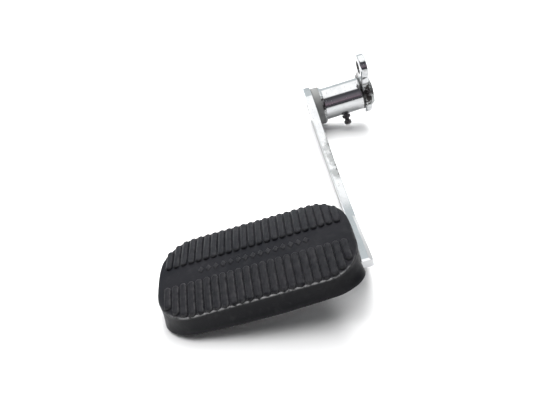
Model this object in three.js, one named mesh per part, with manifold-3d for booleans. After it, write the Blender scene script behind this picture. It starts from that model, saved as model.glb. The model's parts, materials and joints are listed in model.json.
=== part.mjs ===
// Rear foot-brake pedal of a cruiser motorcycle: a steel arm with a welded pivot hub, a push-rod
// lever on the hub's inner end and a ribbed rubber pad on a steel plate at the arm's front end.
//
// Millimetres, +Z up. Every piece is first drawn in the pedal's own axes: X runs along the pivot
// bore from the pad's free end towards the frame side, Y runs from the pad back to the pivot, and
// Z = 0 is the crown of the pad. The finished pedal is then tipped about Y until it lies on the
// ground on the free end of its pad and the lower edge of its arm, and it is centred over the origin.
import * as THREE from 'three';
import { mergeVertices } from 'three/addons/utils/BufferGeometryUtils.js';
import Module from 'manifold-3d';

const wasm = await Module();
wasm.setup();

// ---- driving dimensions ----
const GAP = 0.3;                  // clearance left between pieces that touch
const RIB_PITCH = 4.8;            // spacing of the pad's ribs, which sets the pad's length
const RIB_COUNT = 23;             // ribs in each of the pad's two rows

const PAD_HALF_LENGTH = (RIB_COUNT - 1) * RIB_PITCH / 2 + 6.2;
const PAD_HALF_WIDTH = 30;
const PAD_CORNER = 20;
const PAD_CROWN = 0.0039;         // drop of the top per mm of width squared
const PAD_DEPTH = 18;             // crown to the lower edge of the skirt
const END_FLARE = 1.3;            // how far the skirt leans out at the pad's ends
const SIDE_FLARE = 4;             // and along its long sides
const PAD_EDGE = 1.4;             // rounding between the top and the skirt
const LIP_WIDTH = 8;              // how far the rubber reaches in under the plate

const PLATE_THICK = 3;
const PLATE_TOP = -9.2;
const PLATE_INSET = 4;            // from the pad's outline to the plate's

const BRACKET_REAR = 15;
const BRACKET_FRONT = -3;
const BRACKET_THICK = 5;
const BRACKET_BOTTOM = -36;
const BRACKET_FOOT_START = 8;
const BRACKET_WELD_LEG = 2.4;
const BRACKET_WELD_MARGIN = 4;    // bare metal left at each end of the plate welds

const ARM_OUTER = 60.9;           // the arm's two faces along X
const ARM_THICK = 6.3;
const HUB_PLATE_THICK = 6.2;
const PIVOT_Y = 189.2;
const PIVOT_Z = -32.5;
const EYE_RADIUS = 18;            // rounded end of the arm round the pivot
const HEEL_START = Math.PI / 6;   // where the eye's round gives way to the arm's squared heel
const HEEL_HEIGHT = 17.2;         // the heel's flat top, above the pivot
const HEEL_CORNER = 12.3;         // the heel's corner and the ends of its flat, behind the pivot
const HEEL_REAR = 5;
const HEEL_FRONT = -7.7;
const HUB_PLATE_RADIUS = 16.8;
const TIP_CORNER = 3.5;           // plan rounding of the arm's front end, on the frame side
const CHAMFER = 2.5;              // bevel along the front of the arm's top edge
const CHAMFER_REAR_Y = 40;
const CHAMFER_REAR_Z = -31.7;     // the top edge there, and its rise to the front end
const CHAMFER_RISE = 0.2;

const TUBE_RADIUS = 14.3;
const TUBE_LENGTH = 36;
const SPIGOT_RADIUS = 12;         // the tube is turned down where it passes through the lever
const SPIGOT_LENGTH = 10;
const BORE_RADIUS = 10;
const SHAFT_RADIUS = 8;           // the pivot shaft that the bushes run on
const BUSH_LENGTH = 20;
const SEAL_LENGTH = 2.4;
const HUB_WELD_LEG = 3;
const LEVER_WELD_LEG = 2.2;
const WELD_WAIST = 0.35;          // how hollow a round weld's face is, as a share of its leg
const WELD_CREST = 0.54;

const LEVER_THICK = 6.2;
const LEVER_HUB_RADIUS = 18;
const LEVER_EYE_RADIUS = 10.6;
const LEVER_HOLE_RADIUS = 4.6;
const LEVER_HUB_OPEN = 0.85;      // half the angle that the neck takes up on the hub's circle
const LEVER_EYE_OPEN = 2.1;       // half the angle of the eye's own round
const LEVER_WAIST = 8;            // half-width that pulls the neck in
const LEVER_WAIST_PLACE = 0.52;   // share of the way from the hub to the eye
const LEVER_EYE_Y = -9;           // from the pivot axis to the push-rod eye
const LEVER_EYE_Z = 29.9;

const FITTING_TILT = THREE.MathUtils.degToRad(35);   // from straight down towards the pad
const FITTING_ALONG = 18.5;       // from the tube's outer end to the grease fitting
const FITTING_SHANK = 2.4;
const FITTING_COLLAR = 4.1;
const FITTING_COLLAR_HEIGHT = 2.9;
const FITTING_HEAD = 3.2;
const FITTING_MOUTH = 0.7;
const FITTING_SOCKET = 4;         // how deep the shank sits in the tube's wall
const FITTING_TIP = 23.6;         // from the pivot axis to the nipple's tip
const BALL_RADIUS = 1.2;
const BALL_CLEARANCE = 0.25;
const SPRING_WIRE = 0.35;

// ---- places worked out from them ----
const ARM_INNER = ARM_OUTER + ARM_THICK;
const HUB_PLATE_INNER = ARM_INNER + GAP + HUB_PLATE_THICK;
const TUBE_OUTER_END = HUB_PLATE_INNER + GAP;
const TUBE_SHOULDER = TUBE_OUTER_END + TUBE_LENGTH;
const TUBE_INNER_END = TUBE_SHOULDER + SPIGOT_LENGTH;
const LEVER_OUTER = TUBE_SHOULDER + GAP;
const LEVER_INNER = LEVER_OUTER + LEVER_THICK;
const ARM_BOTTOM = PIVOT_Z - EYE_RADIUS;
const LIE_ANGLE = Math.atan2(-ARM_BOTTOM - PAD_DEPTH, ARM_OUTER + PAD_HALF_LENGTH + END_FLARE);

// ---- looks, as [colour, roughness, metalness] ----
const CHROME = [0xd9dcdf, 0.12, 1];
const BARE_STEEL = [0x8e9194, 0.4, 1];
const BRONZE = [0xa9743b, 0.4, 1];
const DARK_STEEL = [0x2c2d2f, 0.45, 0.9];
const RUBBER = [0x35373b, 0.75, 0];

const pedal = new THREE.Group();

function addPiece(name, geometry, [color, roughness, metalness]) {
  const material = new THREE.MeshStandardMaterial({ color, roughness, metalness });
  const piece = new THREE.Mesh(geometry, material);
  piece.name = name;
  pedal.add(piece);
}

// ---- booleans ----
function toSolid(geometry) {
  const bare = geometry.clone();
  bare.deleteAttribute('normal');
  bare.deleteAttribute('uv');
  const merged = mergeVertices(bare, 1e-4);
  return new wasm.Manifold(new wasm.Mesh({
    numProp: 3,
    vertProperties: Float32Array.from(merged.attributes.position.array),
    triVerts: Uint32Array.from(merged.index.array),
  }));
}

function toGeometry(solid) {
  const mesh = solid.getMesh();
  const geometry = new THREE.BufferGeometry();
  geometry.setAttribute('position', new THREE.BufferAttribute(Float32Array.from(mesh.vertProperties), 3));
  geometry.setIndex(Array.from(mesh.triVerts));
  geometry.computeVertexNormals();
  return geometry;
}

function cut(geometry, ...tools) {
  let solid = toSolid(geometry);
  for (const tool of tools) {
    solid = solid.subtract(toSolid(tool));
  }
  return toGeometry(solid);
}

// ---- shared shapes ----
// A closed ring or disc profile of [radius, along] points, turned round the pivot axis.
function turnOnPivot(profile, segments = 48) {
  const points = profile.map(([radius, along]) => new THREE.Vector2(radius, along));
  const geometry = new THREE.LatheGeometry([...points, points[0].clone()], segments);
  geometry.rotateZ(-Math.PI / 2);
  geometry.translate(0, PIVOT_Y, PIVOT_Z);
  return geometry;
}

function ringOnPivot(inner, outer, from, to, segments = 48) {
  return turnOnPivot([[outer, from], [outer, to], [inner, to], [inner, from]], segments);
}

// A plate whose outline is drawn in Y and Z, lying between two places along X.
function sidePlate(shape, from, to, curveSegments = 12) {
  const options = { depth: to - from, bevelEnabled: false, curveSegments };
  const geometry = new THREE.ExtrudeGeometry(shape, options);
  const axes = new THREE.Matrix4().makeBasis(
    new THREE.Vector3(0, 1, 0),
    new THREE.Vector3(0, 0, 1),
    new THREE.Vector3(1, 0, 0),
  );
  geometry.applyMatrix4(axes);
  geometry.translate(from, 0, 0);
  return geometry;
}

// A bar whose section is drawn as [X, Z] points, lying between two places along Y.
function crossBar(section, from, to) {
  const shape = new THREE.Shape(section.map(([x, z]) => new THREE.Vector2(x, z)));
  const geometry = new THREE.ExtrudeGeometry(shape, { depth: to - from, bevelEnabled: false });
  geometry.rotateX(Math.PI / 2);
  geometry.translate(0, to, 0);
  return geometry;
}

// A post whose plan is drawn as [X, Y] points, standing between two places along Z.
function post(plan, from, to) {
  const shape = new THREE.Shape(plan.map(([x, y]) => new THREE.Vector2(x, y)));
  const geometry = new THREE.ExtrudeGeometry(shape, { depth: to - from, bevelEnabled: false });
  geometry.translate(0, 0, from);
  return geometry;
}

function pivotHole(radius) {
  const hole = new THREE.Path();
  hole.absarc(PIVOT_Y, PIVOT_Z, radius, 0, 2 * Math.PI, true);
  return hole;
}

function roundedOutline(halfLength, halfWidth, corner, steps = 6) {
  const outline = [];
  const centres = [[1, 1, 0], [-1, 1, 1], [-1, -1, 2], [1, -1, 3]];
  for (const [sideX, sideY, quarter] of centres) {
    for (let step = 0; step <= steps; step++) {
      const angle = (quarter + step / steps) * Math.PI / 2;
      outline.push(new THREE.Vector2(
        sideX * (halfLength - corner) + corner * Math.cos(angle),
        sideY * (halfWidth - corner) + corner * Math.sin(angle),
      ));
    }
  }
  return outline;
}

function slab(halfLength, halfWidth, corner, bottom, top) {
  const plan = roundedOutline(halfLength, halfWidth, corner).map(({ x, y }) => [x, y]);
  return post(plan, bottom, top);
}

// ---- the rubber pad ----
// Rings of one outline stacked from the skirt's lower edge to the crown, closed at both ends.
function padBody() {
  const crown = (y) => -PAD_CROWN * y * y;
  const ringOf = (inset, drop, shrink = 1) => roundedOutline(
    PAD_HALF_LENGTH - inset,
    PAD_HALF_WIDTH - inset,
    PAD_CORNER - inset,
  ).map(({ x, y }) => [x * shrink, y * shrink, crown(y * shrink) - drop]);
  const lowerEdge = roundedOutline(
    PAD_HALF_LENGTH + END_FLARE,
    PAD_HALF_WIDTH + SIDE_FLARE,
    PAD_CORNER,
  ).map(({ x, y }) => [x, y, -PAD_DEPTH]);
  const rings = [
    lowerEdge,
    ringOf(0, PAD_EDGE),
    ringOf(PAD_EDGE * 0.3, PAD_EDGE * 0.3),
    ringOf(PAD_EDGE, 0),
  ];
  for (const shrink of [0.75, 0.5, 0.25]) {
    rings.push(ringOf(PAD_EDGE, 0, shrink));
  }
  const count = lowerEdge.length;
  const positions = rings.flat(2);
  positions.push(0, 0, -PAD_DEPTH, 0, 0, 0);
  const bottomCentre = rings.length * count;
  const topCentre = bottomCentre + 1;
  const faces = [];
  for (let i = 0; i < count; i++) {
    const next = (i + 1) % count;
    faces.push(bottomCentre, next, i);
    for (let ring = 0; ring + 1 < rings.length; ring++) {
      const low = ring * count;
      const high = low + count;
      faces.push(low + i, low + next, high + next, low + i, high + next, high + i);
    }
    const last = (rings.length - 1) * count;
    faces.push(last + i, last + next, topCentre);
  }
  const geometry = new THREE.BufferGeometry();
  geometry.setAttribute('position', new THREE.Float32BufferAttribute(positions, 3));
  geometry.setIndex(faces);
  return geometry;
}

function addPad() {
  const pocket = slab(
    PAD_HALF_LENGTH - PLATE_INSET + GAP,
    PAD_HALF_WIDTH - PLATE_INSET + GAP,
    PAD_CORNER - PLATE_INSET + GAP,
    PLATE_TOP - PLATE_THICK - GAP,
    PLATE_TOP + GAP,
  );
  const openingInset = PLATE_INSET + LIP_WIDTH;
  const opening = slab(
    PAD_HALF_LENGTH - openingInset,
    PAD_HALF_WIDTH - openingInset,
    PAD_CORNER / 2,
    -PAD_DEPTH - 1,
    PLATE_TOP - 1,
  );
  addPiece('rubber_pad', cut(padBody(), pocket, opening), RUBBER);
  addPiece('pad_plate', slab(
    PAD_HALF_LENGTH - PLATE_INSET,
    PAD_HALF_WIDTH - PLATE_INSET,
    PAD_CORNER - PLATE_INSET,
    PLATE_TOP - PLATE_THICK,
    PLATE_TOP,
  ), BARE_STEEL);
}

// ---- the bracket between the plate and the arm ----
const BRACKET_TOP = PLATE_TOP - PLATE_THICK - GAP;   // its raised foot under the plate
const BRACKET_SHELF = -PAD_DEPTH - 1;                // top of the part that passes under the lip
const BRACKET_FOOT_END = PAD_HALF_LENGTH - PLATE_INSET - LIP_WIDTH - 5;

function addBracket() {
  const outer = ARM_OUTER - GAP;
  const leg = outer - BRACKET_THICK;
  const shelfBottom = BRACKET_SHELF - BRACKET_THICK;
  const section = [
    [BRACKET_FOOT_START, shelfBottom],
    [leg, shelfBottom],
    [leg, BRACKET_BOTTOM],
    [outer, BRACKET_BOTTOM],
    [outer, BRACKET_SHELF],
    [BRACKET_FOOT_END, BRACKET_SHELF],
    [BRACKET_FOOT_END, BRACKET_TOP],
    [BRACKET_FOOT_START, BRACKET_TOP],
  ];
  addPiece('pad_bracket', crossBar(section, BRACKET_FRONT, BRACKET_REAR), BARE_STEEL);
}

// ---- the arm ----
const TIP_TOP = [-8, -22];
const TIP_FOOT = [-10, -28];

function armShape() {
  const shape = new THREE.Shape();
  shape.moveTo(PIVOT_Y, ARM_BOTTOM);
  shape.absarc(PIVOT_Y, PIVOT_Z, EYE_RADIUS, -Math.PI / 2, HEEL_START, false);
  const heelTop = PIVOT_Z + HEEL_HEIGHT;
  shape.quadraticCurveTo(PIVOT_Y + HEEL_CORNER, heelTop, PIVOT_Y + HEEL_REAR, heelTop);
  shape.lineTo(PIVOT_Y + HEEL_FRONT, heelTop);
  shape.splineThru([
    new THREE.Vector2(164, -19.5),
    new THREE.Vector2(139, -26.5),
    new THREE.Vector2(104, -32.5),
    new THREE.Vector2(74, -34),
    new THREE.Vector2(44, -32.5),
    new THREE.Vector2(10, -26),
    new THREE.Vector2(...TIP_TOP),
  ]);
  shape.quadraticCurveTo(TIP_FOOT[0], TIP_TOP[1], ...TIP_FOOT);
  shape.splineThru([
    new THREE.Vector2(1, -38),
    new THREE.Vector2(12, -46),
    new THREE.Vector2(30, ARM_BOTTOM),
  ]);
  return shape;
}

// What the chamfer takes off the frame-side corner of the top edge, growing out of it at its rear end.
function chamferCutter() {
  const beyond = 2 * CHAMFER;
  const section = [
    [ARM_INNER - CHAMFER - beyond, beyond],
    [ARM_INNER + beyond, -CHAMFER - beyond],
    [ARM_INNER + beyond, beyond],
  ];
  const reach = CHAMFER_REAR_Y - TIP_FOOT[0] + beyond;
  const cutter = crossBar(section, -reach, 0);
  cutter.rotateX(-Math.atan(CHAMFER_RISE));
  cutter.translate(0, CHAMFER_REAR_Y, CHAMFER_REAR_Z);
  return cutter;
}

function tipCornerCutter() {
  const centreX = ARM_INNER - TIP_CORNER;
  const centreY = TIP_FOOT[0] + TIP_CORNER;
  const plan = [];
  const steps = 8;
  for (let step = 0; step <= steps; step++) {
    const angle = -step / steps * Math.PI / 2;
    plan.push([centreX + TIP_CORNER * Math.cos(angle), centreY + TIP_CORNER * Math.sin(angle)]);
  }
  plan.push([centreX, centreY - 2 * TIP_CORNER]);
  plan.push([centreX + 2 * TIP_CORNER, centreY - 2 * TIP_CORNER]);
  plan.push([centreX + 2 * TIP_CORNER, centreY]);
  return post(plan, ARM_BOTTOM, 0);
}

function addArm() {
  const shape = armShape();
  shape.holes.push(pivotHole(BORE_RADIUS));
  const bar = sidePlate(shape, ARM_OUTER, ARM_INNER, 10);
  addPiece('pedal_arm', cut(bar, chamferCutter(), tipCornerCutter()), CHROME);
}

// ---- the pivot hub ----
function addHubPlate() {
  const shape = new THREE.Shape();
  shape.absarc(PIVOT_Y, PIVOT_Z, HUB_PLATE_RADIUS, 0, 2 * Math.PI, false);
  shape.holes.push(pivotHole(BORE_RADIUS));
  addPiece('hub_plate', sidePlate(shape, ARM_INNER + GAP, HUB_PLATE_INNER, 20), BARE_STEEL);
}

function addPivotTube() {
  const tube = turnOnPivot([
    [TUBE_RADIUS, TUBE_OUTER_END],
    [TUBE_RADIUS, TUBE_SHOULDER],
    [SPIGOT_RADIUS, TUBE_SHOULDER],
    [SPIGOT_RADIUS, TUBE_INNER_END],
    [BORE_RADIUS, TUBE_INNER_END],
    [BORE_RADIUS, TUBE_OUTER_END],
  ]);
  const greaseHole = new THREE.CylinderGeometry(FITTING_SHANK + GAP, FITTING_SHANK + GAP, 12, 24);
  greaseHole.translate(0, TUBE_RADIUS, 0);
  toFittingAxis(greaseHole);
  addPiece('pivot_tube', cut(tube, greaseHole), CHROME);
}

function addBushesAndSeals() {
  const seats = [
    ['outer', ARM_OUTER, 1],
    ['inner', TUBE_INNER_END, -1],
  ];
  for (const [side, end, inward] of seats) {
    const sealFace = end + inward * GAP;
    const sealBack = sealFace + inward * SEAL_LENGTH;
    const bushFace = sealBack + inward * GAP;
    const bushBack = bushFace + inward * BUSH_LENGTH;
    const span = (a, b) => [Math.min(a, b), Math.max(a, b)];
    addPiece(
      `${side}_dust_seal`,
      ringOnPivot(SHAFT_RADIUS + 0.1, BORE_RADIUS - GAP, ...span(sealFace, sealBack), 40),
      RUBBER,
    );
    addPiece(
      `${side}_bush`,
      ringOnPivot(SHAFT_RADIUS, BORE_RADIUS - GAP, ...span(bushFace, bushBack), 40),
      BRONZE,
    );
  }
}

// ---- the push-rod lever ----
function leverShape() {
  const hub = new THREE.Vector2(PIVOT_Y, PIVOT_Z);
  const eye = new THREE.Vector2(PIVOT_Y + LEVER_EYE_Y, PIVOT_Z + LEVER_EYE_Z);
  const lean = Math.atan2(LEVER_EYE_Z, LEVER_EYE_Y);
  const onRound = (centre, radius, angle) => [
    centre.x + radius * Math.cos(angle),
    centre.y + radius * Math.sin(angle),
  ];
  const sideways = new THREE.Vector2(Math.sin(lean), -Math.cos(lean));
  const neck = hub.clone().lerp(eye, LEVER_WAIST_PLACE);
  const rearNeck = neck.clone().addScaledVector(sideways, LEVER_WAIST);
  const frontNeck = neck.clone().addScaledVector(sideways, -LEVER_WAIST);
  const hubStart = lean + LEVER_HUB_OPEN;
  const hubEnd = lean - LEVER_HUB_OPEN + 2 * Math.PI;
  const eyeStart = lean - LEVER_EYE_OPEN;
  const eyeEnd = lean + LEVER_EYE_OPEN;
  const shape = new THREE.Shape();
  shape.absarc(hub.x, hub.y, LEVER_HUB_RADIUS, hubStart, hubEnd, false);
  shape.quadraticCurveTo(rearNeck.x, rearNeck.y, ...onRound(eye, LEVER_EYE_RADIUS, eyeStart));
  shape.absarc(eye.x, eye.y, LEVER_EYE_RADIUS, eyeStart, eyeEnd, false);
  shape.quadraticCurveTo(frontNeck.x, frontNeck.y, ...onRound(hub, LEVER_HUB_RADIUS, hubStart));
  const hole = new THREE.Path();
  hole.absarc(eye.x, eye.y, LEVER_HOLE_RADIUS, 0, 2 * Math.PI, true);
  shape.holes.push(hole, pivotHole(SPIGOT_RADIUS + GAP));
  return shape;
}

function addLever() {
  addPiece('pushrod_lever', sidePlate(leverShape(), LEVER_OUTER, LEVER_INNER, 16), CHROME);
}

// ---- weld beads ----
// A slightly hollow fillet round a cylinder, standing on a face square to the pivot axis.
function roundWeld(radius, face, leg) {
  return turnOnPivot([
    [radius, face],
    [radius + leg, face],
    [radius + leg * WELD_WAIST, face + leg * WELD_CREST],
    [radius, face + leg],
  ]);
}

function addHubWelds() {
  addPiece('hub_weld', roundWeld(TUBE_RADIUS + GAP, TUBE_OUTER_END, HUB_WELD_LEG), CHROME);
  addPiece('lever_weld', roundWeld(SPIGOT_RADIUS + GAP, LEVER_INNER + GAP, LEVER_WELD_LEG), CHROME);
}

function addBracketWelds() {
  const leg = BRACKET_WELD_LEG;
  const footStart = BRACKET_FOOT_START + BRACKET_WELD_MARGIN;
  const footEnd = BRACKET_FOOT_END - BRACKET_WELD_MARGIN;
  const rear = BRACKET_REAR + GAP;
  const front = BRACKET_FRONT - GAP;
  const face = ARM_OUTER - GAP;
  const under = BRACKET_BOTTOM - GAP;
  const footSides = [['plate_weld_rear', rear, 1], ['plate_weld_front', front, -1]];
  for (const [name, side, outward] of footSides) {
    const corner = [[side, BRACKET_TOP], [side + outward * leg, BRACKET_TOP], [side, BRACKET_TOP - leg]];
    const section = new THREE.Shape(corner.map(([y, z]) => new THREE.Vector2(y, z)));
    addPiece(name, sidePlate(section, footStart, footEnd), BARE_STEEL);
  }
  const underside = [[face, under], [face - leg, under], [face, under - leg]];
  const lowerStart = BRACKET_FRONT + BRACKET_WELD_MARGIN + 1;
  addPiece('arm_weld_lower', crossBar(underside, lowerStart, BRACKET_REAR - 1), BARE_STEEL);
  const upright = [[face, rear], [face, rear + leg], [face - leg, rear]];
  const uprightTop = BRACKET_SHELF - BRACKET_THICK;
  addPiece('arm_weld_rear', post(upright, BRACKET_BOTTOM, uprightTop), BARE_STEEL);
}

// ---- the grease fitting ----
// Turns a shape made along +Y from the pivot axis onto the fitting's own radial line.
function toFittingAxis(geometry) {
  geometry.rotateX(-Math.PI / 2 - FITTING_TILT);
  geometry.translate(TUBE_OUTER_END + FITTING_ALONG, PIVOT_Y, PIVOT_Z);
  return geometry;
}

function turnOnFitting(profile, segments) {
  const points = profile.map(([radius, along]) => new THREE.Vector2(radius, along));
  return toFittingAxis(new THREE.LatheGeometry([...points, points[0].clone()], segments));
}

function addGreaseFitting() {
  const wall = TUBE_RADIUS + GAP;
  const foot = wall - FITTING_SOCKET;
  const collarTop = wall + FITTING_COLLAR_HEIGHT;
  const chamber = BALL_RADIUS + BALL_CLEARANCE;
  const seat = FITTING_TIP - 1;
  const ledge = foot + 1.4;
  addPiece('grease_fitting', turnOnFitting([
    [FITTING_SHANK, foot],
    [FITTING_SHANK, wall],
    [FITTING_COLLAR, wall],
    [FITTING_COLLAR, collarTop],
    [FITTING_SHANK, collarTop + 0.6],
    [FITTING_SHANK, collarTop + 1.6],
    [FITTING_HEAD, collarTop + 2.4],
    [FITTING_HEAD, FITTING_TIP - 1],
    [FITTING_HEAD - 1, FITTING_TIP],
    [FITTING_MOUTH, FITTING_TIP],
    [FITTING_MOUTH, seat + 0.4],
    [chamber, seat - 0.6],
    [chamber, ledge],
    [FITTING_MOUTH, ledge],
    [FITTING_MOUTH, foot],
  ], 24), DARK_STEEL);
  const ballCentre = seat - 1.05 * BALL_RADIUS;
  const ball = new THREE.SphereGeometry(BALL_RADIUS, 16, 10);
  ball.translate(0, ballCentre, 0);
  addPiece('check_ball', toFittingAxis(ball), BARE_STEEL);
  const springTop = ballCentre - BALL_RADIUS - GAP;
  addPiece('check_spring', turnOnFitting([
    [BALL_RADIUS, ledge + GAP],
    [BALL_RADIUS, springTop],
    [BALL_RADIUS - SPRING_WIRE, springTop],
    [BALL_RADIUS - SPRING_WIRE, ledge + GAP],
  ], 20), BARE_STEEL);
}

// ---- assembly ----
addPad();
addBracket();
addArm();
addHubPlate();
addPivotTube();
addBushesAndSeals();
addLever();
addHubWelds();
addBracketWelds();
addGreaseFitting();

pedal.rotation.y = -LIE_ANGLE;
pedal.updateMatrixWorld(true);
const reach = new THREE.Box3().setFromObject(pedal, true);
pedal.position.set(-(reach.min.x + reach.max.x) / 2, -(reach.min.y + reach.max.y) / 2, -reach.min.z);

const brakePedal = new THREE.Group();
brakePedal.add(pedal);
brakePedal.updateMatrixWorld(true);

export default brakePedal;
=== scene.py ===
"""Looks for a motorcycle rear brake pedal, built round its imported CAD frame.

Every piece is drawn in the pedal's own axes, in metres: X along the pivot bore from the pad's free
end to the frame side, Y from the pad back to the pivot, and Z = 0 at the crown of the pad. PEDAL
then lays it down the way the CAD part lies. Sizes and places come from the CAD nodes.
"""
import json
import math

import bmesh
import bpy
from mathutils import Matrix, Vector


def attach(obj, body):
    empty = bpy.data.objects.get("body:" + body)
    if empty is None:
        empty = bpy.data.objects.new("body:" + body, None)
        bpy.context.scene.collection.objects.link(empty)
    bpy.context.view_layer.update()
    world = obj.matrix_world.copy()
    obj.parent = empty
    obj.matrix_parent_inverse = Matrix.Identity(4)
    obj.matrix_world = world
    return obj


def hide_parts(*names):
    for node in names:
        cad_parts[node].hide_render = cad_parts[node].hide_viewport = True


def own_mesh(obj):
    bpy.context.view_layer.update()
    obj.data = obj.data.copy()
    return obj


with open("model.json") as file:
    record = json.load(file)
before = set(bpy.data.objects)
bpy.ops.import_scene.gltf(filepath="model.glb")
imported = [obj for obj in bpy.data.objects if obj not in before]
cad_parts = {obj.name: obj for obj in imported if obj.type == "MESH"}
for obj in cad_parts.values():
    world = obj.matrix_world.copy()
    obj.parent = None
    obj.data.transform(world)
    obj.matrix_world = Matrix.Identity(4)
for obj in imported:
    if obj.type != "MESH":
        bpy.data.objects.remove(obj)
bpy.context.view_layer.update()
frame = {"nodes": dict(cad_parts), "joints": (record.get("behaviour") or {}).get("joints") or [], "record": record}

MM = 0.001
BODY = "pedal"

# ---- the pedal's own axes, from the CAD frame ----
MOUNTS = {mount["name"]: mount for mount in frame["record"]["mounts"]}
BORE_AXIS = Vector(MOUNTS["frame_side_face"]["axis"])
TURN = Matrix.Rotation(-math.atan2(BORE_AXIS.z, BORE_AXIS.x), 4, "Y")


def turned_bounds(node):
    """Lowest and highest corner of a CAD node, measured along the pedal's axes."""
    back = TURN.inverted()
    points = [back @ vertex.co for vertex in frame["nodes"][node].data.vertices]
    low = Vector([min(point[axis] for point in points) for axis in range(3)])
    high = Vector([max(point[axis] for point in points) for axis in range(3)])
    return low, high


pad_low, pad_high = turned_bounds("rubber_pad")
CROWN = Vector(((pad_low.x + pad_high.x) / 2, (pad_low.y + pad_high.y) / 2, pad_high.z))
PEDAL = TURN @ Matrix.Translation(CROWN)


def cad(node):
    low, high = turned_bounds(node)
    return low - CROWN, high - CROWN


# ---- sizes read from the CAD pieces ----
PAD_LOW, PAD_HIGH = cad("rubber_pad")
PLATE_LOW, PLATE_HIGH = cad("pad_plate")
ARM_LOW, ARM_HIGH = cad("pedal_arm")
HUB_LOW, HUB_HIGH = cad("hub_plate")
TUBE_LOW, TUBE_HIGH = cad("pivot_tube")
LEVER_LOW, LEVER_HIGH = cad("pushrod_lever")
PIVOT_Y = (TUBE_LOW.y + TUBE_HIGH.y) / 2
PIVOT_Z = (TUBE_LOW.z + TUBE_HIGH.z) / 2
TUBE_RADIUS = (TUBE_HIGH.y - TUBE_LOW.y) / 2
HUB_RADIUS = (HUB_HIGH.y - HUB_LOW.y) / 2

# ---- sizes that only the looks need ----
CLEARANCE = 0.3 * MM             # gap that the CAD leaves between pieces

END_FLARE = 1.3 * MM             # how far the skirt leans out at the pad's ends
SIDE_FLARE = 4.0 * MM            # and along its long sides
PAD_CORNER = 20 * MM
PAD_CROWN = 3.9                  # drop of the top per metre of width squared
END_PULL = 3.6 * MM              # how far the ends fall back towards the corners
END_PUSH = 0.8 * MM              # how far the frame-side end bulges in the middle
FOOT_PULL = 3.2 * MM             # how far the skirt's long edges fall back towards the ends
FOOT_TUCK = 3.4 * MM             # how far the skirt is pressed in next to the arm
TUCK_START = -0.72               # where that begins, as a share of the pad's half-width
TUCK_RUN = 0.4                   # and the share over which it grows to its full depth
TIP_PUSH = 3.0 * MM              # how far its near corner on that side stands out instead
FREE_TIP_PUSH = 2.2 * MM         # and the near corner at the free end
REAR_STRETCH = 1.09              # the tread reaches further towards the pivot than forward
LIP_WIDTH = 8 * MM               # how far the rubber reaches in under the plate
FLASH_FADE = 18 * MM             # length over which the flash fades at the pad's ends
RIB_HEIGHT = 1.7 * MM
RIB_COUNT = 23
RIB_PITCH = 4.8 * MM
RIB_HALF_WIDTH = 2.1 * MM
STRIP_HALF_WIDTH = 7 * MM        # smooth strip between the two rows
ROW_END = 29.8 * MM              # outer ends of the ribs
STUD_COUNT = 15                  # the raised lozenges along the strip
STUD_SPACING = 4.6 * MM
STUD_HALF_LENGTH = 1.7 * MM
STUD_HALF_WIDTH = 2.4 * MM
STUD_RISE = 0.55 * MM

ARM_EDGE = 0.7 * MM              # rounding along the arm's edges
CHAMFER = 2.5 * MM               # bevel along the front of the arm's top edge
CHAMFER_REAR = (40 * MM, -31.7 * MM)
CHAMFER_RISE = 0.2               # how fast it climbs towards the front end
CHAMFER_FADE = 9 * MM            # length over which it fades out at its rear end
CHAMFER_LIFT = 2 * MM            # how far it rises out of the arm on the way
TIP_CORNER = 3.5 * MM            # plan rounding of the arm's front end, on the frame side
TOE_SPREAD = 1.5 * MM            # how far the arm's top widens towards the pad at its front end
TOE_START = 26 * MM              # where along Y that begins
TOE_RUN = 14 * MM                # and the length over which it reaches its full width
TOE_FLOOR = -31 * MM             # the arm keeps its own width below this height
DIMPLE_RADIUS = 1.1 * MM         # round pit on top of the front end
HEEL_HEIGHT = 17.2 * MM          # flat top of the arm's heel above the pivot
HEEL_CORNER = 12.3 * MM          # its corner and the ends of its flat, behind the pivot
HEEL_REAR = 5 * MM
HEEL_FRONT = -7.7 * MM
PAINTED_PATCH_REAR = 140 * MM            # the stretch along the arm's top that gets a painted dark reflection
PAINTED_PATCH_FRONT = 76 * MM
PAINTED_PATCH_FLOOR = -36 * MM

BORE_RADIUS = 10 * MM
SHAFT_RADIUS = 8 * MM
SPIGOT_RADIUS = 12 * MM
BEAD_LEG = 2.3 * MM              # the two weld beads round the hub
BEAD_OVERLAP = 0.1 * MM          # how far each one sinks into what it joins
LEVER_EDGE = 1.5 * MM
LEVER_HOLE_RADIUS = 4.6 * MM
LEVER_HUB_OPEN = 0.85            # half the angle that the neck takes up on the hub's circle
LEVER_EYE_OPEN = 2.1             # half the angle of the eye's own round
LEVER_WAIST = 8 * MM             # half-width that pulls the neck in
LEVER_WAIST_PLACE = 0.52         # share of the way from the hub to the eye
MOUNT_FROM_EYE = 7.6 * MM        # the eye's mount lies this far behind its hole's middle

SHANK_RADIUS = 2.35 * MM         # the grease fitting, from its thread to the nipple's mouth
HEXAGON_RADIUS = 4.1 * MM
HEXAGON_HEIGHT = 2.9 * MM
NECK_RADIUS = 1.9 * MM
HEAD_RADIUS = 3.2 * MM
MOUTH_RADIUS = 0.7 * MM
SOCKET_DEPTH = 3.9 * MM          # how deep the shank sits in the tube's wall
BALL_RADIUS = 1.2 * MM
SPRING_WIRE = 0.17 * MM
SPRING_TURNS = 7
FLOOR_SIZE = 6.0
CHECK_JOINT = next(joint for joint in frame["joints"] if joint["name"] == "check_ball_slide")


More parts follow.
